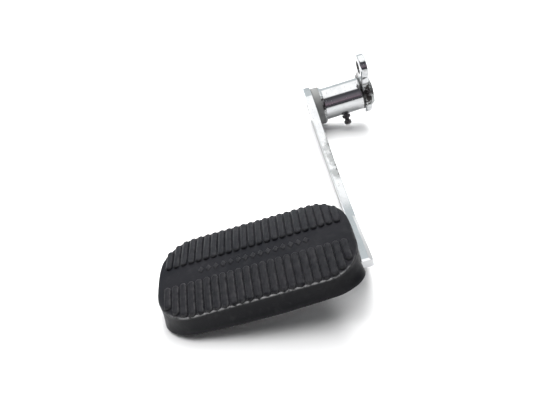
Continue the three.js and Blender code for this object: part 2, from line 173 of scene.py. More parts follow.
# ---- small helpers ----
def piece_from_bmesh(name, shape, material, stands_for, smooth_angle=35):
    """Turns a bmesh drawn in the pedal's axes into a finished piece riding on the pedal."""
    bmesh.ops.remove_doubles(shape, verts=shape.verts, dist=1e-7)
    bmesh.ops.recalc_face_normals(shape, faces=shape.faces)
    mesh = bpy.data.meshes.new(name)
    shape.to_mesh(mesh)
    shape.free()
    mesh.transform(PEDAL)
    mesh.shade_smooth()
    mesh.set_sharp_from_angle(angle=math.radians(smooth_angle))
    mesh.materials.append(material)
    piece = bpy.data.objects.new(name, mesh)
    bpy.context.scene.collection.objects.link(piece)
    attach(piece, BODY)
    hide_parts(*stands_for)
    return piece


def flatten_shading(piece):
    """Flat faces keep flat reflections next to their rounded edges."""
    modifier = piece.modifiers.new("flat_faces", "WEIGHTED_NORMAL")
    modifier.keep_sharp = True
    modifier.weight = 80


def bridge_rings(shape, rings, wear_and_painted_light=None):
    """Joins closed rings of points, each as long as the others, with quads.

    Returns the vertex rings. One share per ring, of wear and painted highlight, is kept for the material."""
    made = [[shape.verts.new(point) for point in ring] for ring in rings]
    if wear_and_painted_light:
        layer = shape.verts.layers.float["wear_and_painted_light"]
        for ring, share in zip(made, wear_and_painted_light):
            for vertex in ring:
                vertex[layer] = share
    count = len(made[0])
    for low, high in zip(made, made[1:]):
        for i in range(count):
            j = (i + 1) % count
            corners = [low[i], low[j], high[j], high[i]]
            if len(set(corners)) > 2:
                shape.faces.new(corners)
    return made


def cap_ends(shape, rings):
    shape.faces.new(list(reversed(rings[0])))
    shape.faces.new(rings[-1])


def paint_shade_shares(shape, share_at):
    """Stores at each vertex a share from 0 to 1 of painted shade and painted dark reflection, for the material."""
    layer = shape.verts.layers.float.new("wear_and_painted_light")
    for vertex in shape.verts:
        vertex[layer] = share_at(vertex.co)


def fan(shape, ring, centre):
    """Closes a ring of vertices with triangles that meet at one point."""
    middle = shape.verts.new(centre)
    count = len(ring)
    for i in range(count):
        shape.faces.new([ring[i], ring[(i + 1) % count], middle])


def lathe(profile, place, segments=96, flats=None):
    """A closed profile of (radius, along) turned about Z, which place maps into the pedal's axes.

    Rings between the two places along Z in flats are hexagonal, with the radius across corners."""
    shape = bmesh.new()
    rings = []
    for radius, along in profile + profile[:1]:
        hexagonal = flats is not None and flats[0] <= along <= flats[1]
        ring = []
        for step in range(segments):
            angle = 2 * math.pi * step / segments
            reach = radius
            if hexagonal:
                off_flat = angle % (math.pi / 3) - math.pi / 6
                reach = radius * math.cos(math.pi / 6) / math.cos(off_flat)
            ring.append(place @ Vector((reach * math.cos(angle), reach * math.sin(angle), along)))
        rings.append(ring)
    bridge_rings(shape, rings)
    return shape


def rounded(corners, steps=4):
    """Rounds a closed profile: each corner is (radius, along) or (radius, along, rounding)."""
    outline = []
    count = len(corners)
    for i, corner in enumerate(corners):
        point = Vector(corner[:2])
        size = corner[2] if len(corner) > 2 else 0
        if not size:
            outline.append(tuple(point))
            continue
        before = (Vector(corners[i - 1][:2]) - point).normalized() * size
        after = (Vector(corners[(i + 1) % count][:2]) - point).normalized() * size
        for step in range(steps + 1):
            t = step / steps
            outline.append(tuple(point + before * (1 - t) ** 2 + after * t ** 2))
    return outline


PIVOT = Matrix.Translation((0, PIVOT_Y, PIVOT_Z)) @ Matrix.Rotation(math.pi / 2, 4, "Y")


def side_plate(outlines, low_x, high_x, edge):
    """A plate with rounded edges. Its outline and holes are drawn in Y and Z."""
    curve = bpy.data.curves.new("side_plate", "CURVE")
    curve.dimensions = "2D"
    curve.fill_mode = "BOTH"
    curve.extrude = (high_x - low_x) / 2 - edge
    curve.bevel_depth = edge
    curve.bevel_resolution = 3
    curve.offset = -edge
    for outline in outlines:
        spline = curve.splines.new("POLY")
        spline.points.add(len(outline) - 1)
        for point, (y, z) in zip(spline.points, outline):
            point.co = (y, z, 0, 1)
        spline.use_cyclic_u = True
    holder = bpy.data.objects.new("side_plate", curve)
    bpy.context.scene.collection.objects.link(holder)
    graph = bpy.context.evaluated_depsgraph_get()
    mesh = bpy.data.meshes.new_from_object(holder.evaluated_get(graph))
    shape = bmesh.new()
    shape.from_mesh(mesh)
    bpy.data.objects.remove(holder)
    bpy.data.curves.remove(curve)
    bpy.data.meshes.remove(mesh)
    axes = Matrix(((0, 0, 1, (low_x + high_x) / 2), (1, 0, 0, 0), (0, 1, 0, 0), (0, 0, 0, 1)))
    bmesh.ops.transform(shape, matrix=axes, verts=shape.verts)
    return shape


def arc(centre, radius, start, end, steps):
    return [
        (centre[0] + radius * math.cos(start + (end - start) * i / steps),
         centre[1] + radius * math.sin(start + (end - start) * i / steps))
        for i in range(steps + 1)
    ]


def circle(centre, radius, steps=64):
    return arc(centre, radius, 0, 2 * math.pi, steps)[:-1]


def on_circle(centre, radius, angle):
    return (centre[0] + radius * math.cos(angle), centre[1] + radius * math.sin(angle))


def bend(start, control, end, steps=14):
    """A quadratic bend from start to end, without its first point."""
    line = []
    for step in range(1, steps + 1):
        t = step / steps
        line.append(tuple(
            start[k] * (1 - t) ** 2 + 2 * control[k] * t * (1 - t) + end[k] * t * t for k in range(2)
        ))
    return line


def smooth_through(points, steps=8):
    """A Catmull-Rom line through given points."""
    padded = [points[0]] + list(points) + [points[-1]]
    line = []
    for a, b, c, d in zip(padded, padded[1:], padded[2:], padded[3:]):
        for step in range(steps):
            t = step / steps
            line.append(tuple(
                0.5 * (2 * b[k] + (c[k] - a[k]) * t + (2 * a[k] - 5 * b[k] + 4 * c[k] - d[k]) * t * t
                       + (3 * b[k] - a[k] - 3 * c[k] + d[k]) * t ** 3)
                for k in range(2)
            ))
    line.append(tuple(points[-1]))
    return line


# ---- materials ----
def new_material(name):
    material = bpy.data.materials.new(name)
    material.use_nodes = True
    tree = material.node_tree
    return material, tree, tree.nodes["Principled BSDF"]


def noise(tree, scale, detail=4, stretch=(1, 1, 1)):
    """Noise that sticks to the object, in metres."""
    place = tree.nodes.new("ShaderNodeTexCoord")
    mapping = tree.nodes.new("ShaderNodeMapping")
    mapping.inputs["Scale"].default_value = stretch
    texture = tree.nodes.new("ShaderNodeTexNoise")
    texture.inputs["Scale"].default_value = scale
    texture.inputs["Detail"].default_value = detail
    texture.inputs["Roughness"].default_value = 0.6
    tree.links.new(place.outputs["Object"], mapping.inputs["Vector"])
    tree.links.new(mapping.outputs["Vector"], texture.inputs["Vector"])
    return texture.outputs["Fac"]


def spots(tree, scale, size):
    """Round spots of 1 in a field of 0. A higher scale packs them closer."""
    place = tree.nodes.new("ShaderNodeTexCoord")
    texture = tree.nodes.new("ShaderNodeTexVoronoi")
    texture.inputs["Scale"].default_value = scale
    tree.links.new(place.outputs["Object"], texture.inputs["Vector"])
    return ramp(tree, texture.outputs["Distance"], [(size * 0.5, 1.0), (size, 0.0)])


def ramp(tree, value, stops):
    """Maps a value through a curve of (place, level) stops. A level is a grey or a colour."""
    node = tree.nodes.new("ShaderNodeValToRGB")
    elements = node.color_ramp.elements
    while len(elements) < len(stops):
        elements.new(0.5)
    for element, (place, level) in zip(elements, stops):
        element.position = place
        colour = level if isinstance(level, tuple) else (level, level, level)
        element.color = (*colour, 1)
    tree.links.new(value, node.inputs["Fac"])
    return node.outputs["Color"]


def mix(tree, factor, first, second, how="MIX"):
    """Blends two colours. Each value is a socket to link or a colour."""
    node = tree.nodes.new("ShaderNodeMix")
    node.data_type = "RGBA"
    node.blend_type = how
    sockets = (node.inputs["Factor"], node.inputs[6], node.inputs[7])
    for socket, value in zip(sockets, (factor, first, second)):
        if isinstance(value, bpy.types.NodeSocket):
            tree.links.new(value, socket)
        else:
            socket.default_value = (*value, 1)
    return node.outputs[2]


def multiply(tree, first, second):
    node = tree.nodes.new("ShaderNodeMath")
    node.operation = "MULTIPLY"
    tree.links.new(first, node.inputs[0])
    tree.links.new(second, node.inputs[1])
    return node.outputs[0]


def bump(tree, shader, height, distance, strength):
    node = tree.nodes.new("ShaderNodeBump")
    node.inputs["Distance"].default_value = distance
    node.inputs["Strength"].default_value = strength
    tree.links.new(height, node.inputs["Height"])
    tree.links.new(node.outputs["Normal"], shader.inputs["Normal"])


def wear_and_painted_light_share(tree):
    """The share from 0 to 1 stored at each vertex by the painted-shade helper or by bridge_rings(): wear and
    painted highlights on the pad, painted shade and dark reflections on the chrome.
    """
    node = tree.nodes.new("ShaderNodeAttribute")
    node.attribute_name = "wear_and_painted_light"
    return node.outputs["Fac"]


def make_chrome():
    """Bright plating: light haze and pits all over, and painted grey and dark patches, standing for dark
    reflections and shade, where the vertex share says so.
    """
    material, tree, shader = new_material("chrome_plating")
    shader.inputs["Metallic"].default_value = 1
    pits = spots(tree, 420, 0.16)
    haze = ramp(tree, noise(tree, 90), [(0.45, 0.0), (0.75, 1.0)])
    clean = mix(tree, haze, (0.60, 0.61, 0.62), (0.53, 0.54, 0.545))
    colour = mix(tree, pits, clean, (0.26, 0.25, 0.24))
    rough = mix(tree, haze, (0.05, 0.05, 0.05), (0.16, 0.16, 0.16))
    rough = mix(tree, pits, rough, (0.6, 0.6, 0.6))
    wear_and_painted_light = wear_and_painted_light_share(tree)
    # The vertex share paints dark reflections and shade: a dull grey first, then near black.
    painted_grey = multiply(tree, wear_and_painted_light, noise(tree, 130, detail=5))
    painted_grey = ramp(tree, painted_grey, [(0.16, 0.0), (0.26, 1.0)])
    painted_dark = multiply(tree, wear_and_painted_light, noise(tree, 300, detail=5))
    painted_dark = ramp(tree, painted_dark, [(0.34, 0.0), (0.44, 1.0)])
    colour = mix(tree, painted_grey, colour, (0.36, 0.37, 0.37))
    colour = mix(tree, painted_dark, colour, (0.040, 0.037, 0.036))
    tree.links.new(colour, shader.inputs["Base Color"])
    rough = mix(tree, painted_grey, rough, (0.30, 0.30, 0.30))
    rough = mix(tree, painted_dark, rough, (0.42, 0.42, 0.42))
    tree.links.new(rough, shader.inputs["Roughness"])
    ripple = noise(tree, 260, detail=2)
    relief = mix(tree, pits, ripple, (1.0, 1.0, 1.0), "SUBTRACT")
    bump(tree, shader, relief, 0.00004, 0.35)
    return material


def make_pad_rubber():
    """Charcoal moulded rubber: faint damp stains, dust on the crests, a worn moulding flash, and painted
    highlights on the ribs' and lozenges' shoulders.
    """
    material, tree, shader = new_material("pad_rubber")
    shader.inputs["Specular IOR Level"].default_value = 0.13
    stain = ramp(tree, noise(tree, 40, detail=5), [(0.46, 0.0), (0.57, 1.0)])
    fine = noise(tree, 900, detail=3)
    dust = ramp(tree, noise(tree, 210, detail=6), [(0.52, 0.0), (0.85, 1.0)])
    colour = mix(tree, stain, (0.0050, 0.0053, 0.0072), (0.0085, 0.0085, 0.0106))
    colour = mix(tree, dust, colour, (0.018, 0.018, 0.020))
    wear_and_painted_light = wear_and_painted_light_share(tree)
    patchy = noise(tree, 420, detail=5)
    patches = ramp(tree, patchy, [(0.32, 0.0), (0.55, 1.0)])
    # The vertex share lightens the worn flash and paints highlights on the ribs' and lozenges' shoulders.
    worn = multiply(tree, wear_and_painted_light, patches)
    colour = mix(tree, worn, colour, (0.22, 0.22, 0.222))
    tree.links.new(colour, shader.inputs["Base Color"])
    rough = mix(tree, stain, (0.36, 0.36, 0.36), (0.52, 0.52, 0.52))
    tree.links.new(rough, shader.inputs["Roughness"])
    bump(tree, shader, fine, 0.00008, 0.5)
    return material


def make_seal_rubber():
    material, tree, shader = new_material("seal_rubber")
    tone = noise(tree, 500)
    colour = mix(tree, tone, (0.015, 0.015, 0.016), (0.035, 0.034, 0.033))
    tree.links.new(colour, shader.inputs["Base Color"])
    tree.links.new(ramp(tree, tone, [(0.3, 0.45), (0.7, 0.7)]), shader.inputs["Roughness"])
    bump(tree, shader, tone, 0.00005, 0.4)
    return material


def make_bare_steel():
    material, tree, shader = new_material("bare_steel")
    shader.inputs["Metallic"].default_value = 1
    scale_marks = noise(tree, 160, detail=6)
    brushed = noise(tree, 240, stretch=(0.15, 1, 6))
    colour = mix(tree, scale_marks, (0.30, 0.30, 0.31), (0.48, 0.47, 0.46))
    tree.links.new(colour, shader.inputs["Base Color"])
    tree.links.new(ramp(tree, brushed, [(0.3, 0.34), (0.7, 0.52)]), shader.inputs["Roughness"])
    bump(tree, shader, brushed, 0.00004, 0.4)
    return material


def make_satin_steel():
    """The unpolished hub plate: an even grey under a thin dull coat."""
    material, tree, shader = new_material("satin_steel")
    shader.inputs["Metallic"].default_value = 0.2
    shader.inputs["Specular IOR Level"].default_value = 0.2
    cloud = noise(tree, 140, detail=4)
    speck = spots(tree, 900, 0.12)
    colour = mix(tree, cloud, (0.16, 0.164, 0.162), (0.20, 0.204, 0.20))
    colour = mix(tree, speck, colour, (0.07, 0.065, 0.06))
    tree.links.new(colour, shader.inputs["Base Color"])
    tree.links.new(ramp(tree, cloud, [(0.3, 0.5), (0.7, 0.62)]), shader.inputs["Roughness"])
    bump(tree, shader, noise(tree, 1100, detail=3), 0.00004, 0.5)
    return material


def make_dark_steel():
    material, tree, shader = new_material("dark_steel")
    shader.inputs["Metallic"].default_value = 1
    grime = ramp(tree, noise(tree, 420, detail=5), [(0.4, 0.0), (0.65, 1.0)])
    colour = mix(tree, grime, (0.20, 0.20, 0.205), (0.06, 0.056, 0.052))
    tree.links.new(colour, shader.inputs["Base Color"])
    tree.links.new(ramp(tree, grime, [(0.0, 0.28), (1.0, 0.6)]), shader.inputs["Roughness"])
    bump(tree, shader, grime, 0.00006, 0.4)
    return material


def make_bronze():
    material, tree, shader = new_material("sintered_bronze")
    shader.inputs["Metallic"].default_value = 1
    pores = spots(tree, 2500, 0.3)
    tone = noise(tree, 300)
    colour = mix(tree, tone, (0.42, 0.27, 0.12), (0.62, 0.42, 0.22))
    colour = mix(tree, pores, colour, (0.12, 0.08, 0.04))
    tree.links.new(colour, shader.inputs["Base Color"])
    tree.links.new(ramp(tree, tone, [(0.3, 0.3), (0.7, 0.5)]), shader.inputs["Roughness"])
    bump(tree, shader, pores, 0.00004, 0.4)
    return material


CHROME = make_chrome()
PAD_RUBBER = make_pad_rubber()
SEAL_RUBBER = make_seal_rubber()
BARE_STEEL = make_bare_steel()
SATIN_STEEL = make_satin_steel()
DARK_STEEL = make_dark_steel()
BRONZE = make_bronze()


# ---- the rubber pad ----
HALF_LENGTH = (PAD_HIGH.x - PAD_LOW.x) / 2 - END_FLARE
HALF_WIDTH = (PAD_HIGH.y - PAD_LOW.y) / 2 - SIDE_FLARE
SKIRT_BOTTOM = PAD_LOW.z


def crown(y):
    return -PAD_CROWN * y * y


def pad_outline(inset, lean=0.0, shrink=1.0):
    """Points round the pad's outline, moved in by inset.

    A lean of 1 moves it out by the skirt's flare; shrink scales it towards the middle."""
    half_length = HALF_LENGTH - inset + lean * END_FLARE
    half_width = HALF_WIDTH - inset + lean * SIDE_FLARE
    corner = max(PAD_CORNER - inset, 2 * MM)
    corner_steps = 16
    # Each corner: side in X and Y, quarter, and steps along the edge after it.
    sides = ((1, 1, 0, 48), (-1, 1, 1, 14), (-1, -1, 2, 48), (1, -1, 3, 14))
    outline = []
    for side_x, side_y, quarter, straight_steps in sides:
        corner_centre = (side_x * (half_length - corner), side_y * (half_width - corner))
        start = quarter * math.pi / 2
        outline += arc(corner_centre, corner, start, start + math.pi / 2, corner_steps)
        leave = outline[-1]
        along_x = quarter in (0, 2)
        run = 2 * ((half_length if along_x else half_width) - corner)
        for step in range(1, straight_steps):
            move = run * step / straight_steps
            shift = (-side_x * move, 0) if along_x else (0, -side_y * move)
            outline.append((leave[0] + shift[0], leave[1] + shift[1]))
    shaped = []
    for x, y in outline:
        along = min(abs(x) / HALF_LENGTH, 1)
        across = min(abs(y) / HALF_WIDTH, 1)
        frame_side = 1 if x > 0 else 0
        near_side = 1 if y < 0 else 0
        pull = END_PULL * (1 - near_side) * across ** 1.6 * along ** 3
        push = END_PUSH * frame_side * along ** 3 * (1 - across ** 2)
        past_corner = min(max(y / HALF_WIDTH - TUCK_START, 0) / TUCK_RUN, 1)
        tuck = FOOT_TUCK * frame_side * along ** 3 * past_corner
        tip = (TIP_PUSH if frame_side else FREE_TIP_PUSH) * near_side * along ** 8 * across ** 3
        at_top = push - pull + 0.6 * tip
        at_foot = tip - tuck
        moved_x = x + math.copysign(1, x) * (at_top * (1 - lean) + at_foot * lean)
        fall = FOOT_PULL * along ** 2 * (1 - along ** 8)
        moved_y = y - math.copysign((fall - 0.3 * tip) * lean, y)
        if not near_side:
            moved_y *= REAR_STRETCH + (1 - REAR_STRETCH) * lean
        shaped.append((moved_x * shrink, moved_y * shrink))
    return shaped


def fade_flash(shape):
    """The moulding flash stands out along the near edge and fades towards the ends and behind."""
    layer = shape.verts.layers.float["wear_and_painted_light"]
    for vertex in shape.verts:
        from_end = HALF_LENGTH - abs(vertex.co.x)
        vertex[layer] *= min(max(from_end / FLASH_FADE, 0.15), 1)
        if vertex.co.y > 0:
            vertex[layer] *= 0.35


def make_pad_body(shape):
    """Rings from the middle of the pocket's roof, out, round the lip and skirt, and over the top."""
    pocket = HALF_LENGTH - PLATE_HIGH.x - CLEARANCE
    roof = PLATE_HIGH.z + CLEARANCE
    floor = PLATE_LOW.z - CLEARANCE
    lip = pocket + LIP_WIDTH
    under = [
        (pocket, roof), (pocket, floor), (lip - 0.4 * MM, floor), (lip, floor - 0.5 * MM),
        (lip, SKIRT_BOTTOM + 0.9 * MM), (lip - 0.5 * MM, SKIRT_BOTTOM + 0.2 * MM),
        (lip - 1.5 * MM, SKIRT_BOTTOM),
    ]
    foot = [
        (1.2 * MM, SKIRT_BOTTOM), (0.3 * MM, SKIRT_BOTTOM + 0.15 * MM), (0, SKIRT_BOTTOM + 0.6 * MM),
    ]
    rings = []
    for shrink in (0.35, 0.7):
        rings.append([(x, y, roof) for x, y in pad_outline(pocket, shrink=shrink)])
    for inset, z in under:
        rings.append([(x, y, z) for x, y in pad_outline(inset)])
    for inset, z in foot:
        rings.append([(x, y, z) for x, y in pad_outline(inset, lean=1)])
    wall_steps = 8
    wall_foot = SKIRT_BOTTOM + 1.2 * MM
    wall_top = -RIB_HEIGHT - 1.0 * MM
    for step in range(wall_steps + 1):
        t = step / wall_steps
        hollow = 0.3 * MM * math.sin(math.pi * t)
        outline = pad_outline(hollow, lean=1 - t)
        rings.append([(x, y, wall_foot + (wall_top + crown(y) - wall_foot) * t) for x, y in outline])
    wear_and_painted_light = [0.0] * len(rings)
    over = [
        (-0.05, -0.65, 0.1), (0.0, -0.35, 0.5), (0.12, -0.02, 1.0), (0.4, 0.16, 1.0),
        (0.75, 0.1, 0.5), (1.1, -0.02, 0.1), (2.4, 0.0, 0.0),
    ]
    for inset, rise, share in over:
        outline = pad_outline(inset * MM)
        rings.append([(x, y, rise * MM - RIB_HEIGHT + crown(y)) for x, y in outline])
        wear_and_painted_light.append(share)
    for shrink in (0.92, 0.84, 0.74, 0.63, 0.5, 0.36, 0.22, 0.1):
        outline = pad_outline(2.4 * MM, shrink=shrink)
        rings.append([(x, y, -RIB_HEIGHT + crown(y)) for x, y in outline])
        wear_and_painted_light.append(0.0)
    made = bridge_rings(shape, rings, wear_and_painted_light)
    fade_flash(shape)
    fan(shape, made[0], (0, 0, roof))
    fan(shape, made[-1], (0, 0, -RIB_HEIGHT))


# Half of a rib's section, in mm: distance from its middle line, and height above the smooth surface.
RIB_PROFILE = [
    (2.15, -0.3), (2.08, 0.1), (1.98, 0.6), (1.84, 1.0),
    (1.58, 1.32), (1.2, 1.54), (0.75, 1.66), (0.3, 1.7),
]


def make_rib(shape, x, start, end, worn, shoulder_highlight):
    """One moulded rib across the pad, with rounded ends, from start to end along Y."""
    first = start + RIB_HALF_WIDTH
    last = end - RIB_HALF_WIDTH
    turn_steps = 12
    straight_steps = 10
    rings = []
    for offset, rise in RIB_PROFILE:
        radius = offset * MM
        height = rise * MM if rise < 1 else (rise - worn) * MM
        ring = arc((x, last), radius, 0, math.pi, turn_steps)
        for step in range(1, straight_steps):
            ring.append((x - radius, last + (first - last) * step / straight_steps))
        ring += arc((x, first), radius, math.pi, 2 * math.pi, turn_steps)
        for step in range(1, straight_steps):
            ring.append((x + radius, first + (last - first) * step / straight_steps))
        rings.append([(px, py, crown(py) - RIB_HEIGHT + height) for px, py in ring])
    # Painted highlight along the rib's shoulders; only a trace on the crest.
    wear_and_painted_light = [shoulder_highlight if 0.5 < rise < 1.4 else 0.03 for _, rise in RIB_PROFILE]
    cap_ends(shape, bridge_rings(shape, rings, wear_and_painted_light))


def rib_reach(x):
    """How far a rib at x runs towards the pad's long edge, before the corner's rounding stops it."""
    margin = HALF_WIDTH - ROW_END
    corner = PAD_CORNER - margin
    over = abs(x) + RIB_HALF_WIDTH - (HALF_LENGTH - margin - corner)
    if over <= 0:
        return ROW_END
    return ROW_END - corner + math.sqrt(max(corner ** 2 - over ** 2, 0))


def make_ribs(shape):
    """Two rows of ribs, whose crests are worn down by slightly different amounts."""
    for index in range(RIB_COUNT):
        x = (index - (RIB_COUNT - 1) / 2) * RIB_PITCH
        reach = rib_reach(x)
        worn = 0.06 * math.sin(index * 2.4) + 0.05
        # Painted highlights on the rib shoulders: faintest in the far row, strongest in the near row at the free
        # end.
        near_row_highlight = 0.15 if x < 0 else 0.12
        make_rib(shape, x, STRIP_HALF_WIDTH, reach * REAR_STRETCH, worn, 0.08)
        make_rib(shape, x, -reach, -STRIP_HALF_WIDTH, worn, near_row_highlight)


def make_studs(shape):
    """A plain row of raised lozenges along the smooth strip."""
    base = -RIB_HEIGHT
    corners = [
        (STUD_HALF_LENGTH, 0), (0, STUD_HALF_WIDTH), (-STUD_HALF_LENGTH, 0), (0, -STUD_HALF_WIDTH),
    ]
    section = [(1.25, -0.3 * MM), (1.1, 0.15 * MM), (0.85, STUD_RISE), (0.4, STUD_RISE * 1.1)]
    for index in range(STUD_COUNT):
        x = (index - (STUD_COUNT - 1) / 2) * STUD_SPACING
        rings = []
        for grow, height in section:
            ring = [(x + cx * grow, cy * grow, base + crown(cy * grow) + height) for cx, cy in corners]
            rings.append(ring)
        # A faint painted highlight on each lozenge's shoulder.
        made = bridge_rings(shape, rings, [0.0, 0.03, 0.09, 0.03])
        shape.faces.new(made[0])
        shape.faces.new(made[-1])


def make_pad():
    shape = bmesh.new()
    shape.verts.layers.float.new("wear_and_painted_light")
    make_pad_body(shape)
    make_ribs(shape)
    make_studs(shape)
    piece_from_bmesh("ribbed_rubber_pad", shape, PAD_RUBBER, ["rubber_pad"], 50)


# ---- the arm and the hub ----
def cut_away(piece, cutter_shape):
    """Takes a closed shape, drawn in the pedal's axes, out of a finished piece."""
    mesh = bpy.data.meshes.new("cutter")
    bmesh.ops.recalc_face_normals(cutter_shape, faces=cutter_shape.faces)
    cutter_shape.to_mesh(mesh)
    cutter_shape.free()
    mesh.transform(PEDAL)
    cutter = bpy.data.objects.new("cutter", mesh)
    bpy.context.scene.collection.objects.link(cutter)
    modifier = piece.modifiers.new("cut", "BOOLEAN")
    modifier.object = cutter
    modifier.solver = "EXACT"
    graph = bpy.context.evaluated_depsgraph_get()
    result = bpy.data.meshes.new_from_object(piece.evaluated_get(graph))
    piece.modifiers.remove(modifier)
    piece.data = result
    bpy.data.objects.remove(cutter)
    bpy.data.meshes.remove(mesh)


def prism(outline, *places):
    """A closed prism: one outline of points carried from place to place."""
    shape = bmesh.new()
    rings = [[Vector(point) + Vector(place) for point in outline] for place in places]
    cap_ends(shape, bridge_rings(shape, rings))
    return shape


def chamfer_cutter():
    """Bevels the front of the arm's top edge on the frame side, and fades out at the rear."""
    inner = ARM_HIGH.x
    beyond = 2 * CHAMFER
    rear_y, rear_z = CHAMFER_REAR
    section = [
        (inner - CHAMFER - beyond, rear_y, rear_z + beyond),
        (inner + beyond, rear_y, rear_z - CHAMFER - beyond),
        (inner + beyond, rear_y, rear_z + beyond),
    ]
    reach = rear_y - ARM_LOW.y + beyond
    faded_out = (0, CHAMFER_FADE, CHAMFER_LIFT)
    front = (0, -reach, reach * CHAMFER_RISE)
    return prism(section, faded_out, (0, 0, 0), front)


def tip_corner_cutter():
    """Rounds the arm's front end on the frame side."""
    centre = (ARM_HIGH.x - TIP_CORNER, ARM_LOW.y + TIP_CORNER)
    outline = [(x, y, 0) for x, y in arc(centre, TIP_CORNER, 0, -math.pi / 2, 10)]
    outline += [
        (centre[0], centre[1] - 2 * TIP_CORNER, 0),
        (centre[0] + 2 * TIP_CORNER, centre[1] - 2 * TIP_CORNER, 0),
        (centre[0] + 2 * TIP_CORNER, centre[1], 0),
    ]
    return prism(outline, (0, 0, ARM_LOW.z), (0, 0, 0))


def dimple_cutter():
    """The small round pit on top of the arm's front end."""
    shape = bmesh.new()
    place = Matrix.Translation((ARM_LOW.x + 1.9 * MM, -4.5 * MM, -21.4 * MM))
    bmesh.ops.create_uvsphere(shape, u_segments=24, v_segments=12, radius=DIMPLE_RADIUS, matrix=place)
    return shape


def arm_outline():
    """The arm from the side, in Y and Z: round the pivot, over the heel, forward and back below."""
    eye = (PIVOT_Y, PIVOT_Z)
    radius = ARM_HIGH.y - PIVOT_Y
    heel_top = PIVOT_Z + HEEL_HEIGHT
    outline = arc(eye, radius, -math.pi / 2, math.pi / 6, 30)
    outline += bend(outline[-1], (PIVOT_Y + HEEL_CORNER, heel_top), (PIVOT_Y + HEEL_REAR, heel_top))
    outline.append((PIVOT_Y + HEEL_FRONT, heel_top))
    top = [(164, -19.5), (139, -26.5), (104, -32.5), (74, -34), (44, -32.5), (10, -26), (-8, -22)]
    outline += smooth_through([outline[-1]] + [(y * MM, z * MM) for y, z in top])[1:]
    outline += [(-9.4 * MM, -22.6 * MM), (ARM_LOW.y + 0.1 * MM, -24.5 * MM), (ARM_LOW.y, -28 * MM)]
    under = [(1, -38), (12, -46), (30, ARM_LOW.z / MM)]
    outline += smooth_through([outline[-1]] + [(y * MM, z * MM) for y, z in under])[1:]
    return outline


def arm_painted_reflection(point):
    """Painted dark reflection along the middle of the arm's top, heavier at its frame-side edge."""
    if point.z < PAINTED_PATCH_FLOOR or not PAINTED_PATCH_FRONT < point.y < PAINTED_PATCH_REAR:
        return 0.0
    along = math.sin(math.pi * (point.y - PAINTED_PATCH_FRONT) / (PAINTED_PATCH_REAR - PAINTED_PATCH_FRONT))
    return min(1.6 * along, 1) * (0.68 if point.x > ARM_HIGH.x - MM else 0.34)


def make_arm():
    bore = circle((PIVOT_Y, PIVOT_Z), BORE_RADIUS)
    shape = side_plate([arm_outline(), bore], ARM_LOW.x, ARM_HIGH.x, ARM_EDGE)
    for vertex in shape.verts:
        on_toe = min(max((TOE_START - vertex.co.y) / TOE_RUN, 0), 1)
        if vertex.co.z > TOE_FLOOR and vertex.co.x < (ARM_LOW.x + ARM_HIGH.x) / 2:
            vertex.co.x -= TOE_SPREAD * on_toe
    # Painted dark reflection along the arm's top.
    paint_shade_shares(shape, arm_painted_reflection)
    arm = piece_from_bmesh("chrome_arm", shape, CHROME, ["pedal_arm"])
    for cutter in (chamfer_cutter(), tip_corner_cutter(), dimple_cutter()):
        cut_away(arm, cutter)
    flatten_shading(arm)


def make_hub_plate():
    eye = (PIVOT_Y, PIVOT_Z)
    outlines = [circle(eye, HUB_RADIUS, 96), circle(eye, BORE_RADIUS)]
    shape = side_plate(outlines, ARM_HIGH.x + 0.05 * MM, HUB_HIGH.x, 0.8 * MM)
    plate = piece_from_bmesh("hub_washer_plate", shape, SATIN_STEEL, ["hub_plate"])
    flatten_shading(plate)


def hub_end_painted_shade(point):
    """Painted dark reflection and painted shade round the tube's end: little on top, most on the upper sides, some
    below.
    """
    height = (point.z - PIVOT_Z) / TUBE_RADIUS
    if height > 0.87:
        return 0.3
    return 0.85 if height > 0.2 else 0.55


def make_tube():
    shoulder = LEVER_LOW.x - CLEARANCE
    start = TUBE_LOW.x - 0.25 * MM
    profile = rounded([
        (TUBE_RADIUS, start),
        (TUBE_RADIUS, start + 4 * MM),
        (TUBE_RADIUS, shoulder - 4 * MM),
        (TUBE_RADIUS, shoulder, 0.6 * MM),
        (SPIGOT_RADIUS, shoulder),
        (SPIGOT_RADIUS, TUBE_HIGH.x, 0.7 * MM),
        (BORE_RADIUS, TUBE_HIGH.x, 0.4 * MM),
        (BORE_RADIUS, start),
    ])
    shape = lathe(profile, PIVOT, 128)

    # Painted dark reflection and shade near the tube's two ends.
    def tube_painted_shade(point):
        near_an_end = point.x < start + MM or point.x > shoulder - MM
        return 0.8 * hub_end_painted_shade(point) if near_an_end else 0.0

    paint_shade_shares(shape, tube_painted_shade)
    tube = piece_from_bmesh("hub_tube", shape, CHROME, ["pivot_tube"])
    flatten_shading(tube)


def make_weld(name, node, radius, start):
    """A fillet bead round the hub, drawn as overlapping ripples."""
    shape = bmesh.new()
    segments = 216
    ripples = 40
    rings = []
    section = [(0.0, 0.0), (1.0, 0.0), (0.82, 0.30), (0.55, 0.58), (0.28, 0.84), (0.0, 1.0)]
    for across, along in section + section[:1]:
        ring = []
        for step in range(segments):
            angle = 2 * math.pi * step / segments
            phase = (step * ripples / segments) % 1
            swell = 1 + 0.10 * math.sin(math.pi * phase) if across or along else 1
            reach = radius + BEAD_LEG * across * swell
            ring.append(PIVOT @ Vector((
                reach * math.cos(angle),
                reach * math.sin(angle),
                start + BEAD_LEG * along * swell,
            )))
        rings.append(ring)
    bridge_rings(shape, rings)
    # The same painted dark reflection and shade as at the tube's ends.
    paint_shade_shares(shape, hub_end_painted_shade)
    piece_from_bmesh(name, shape, CHROME, [node], 60)


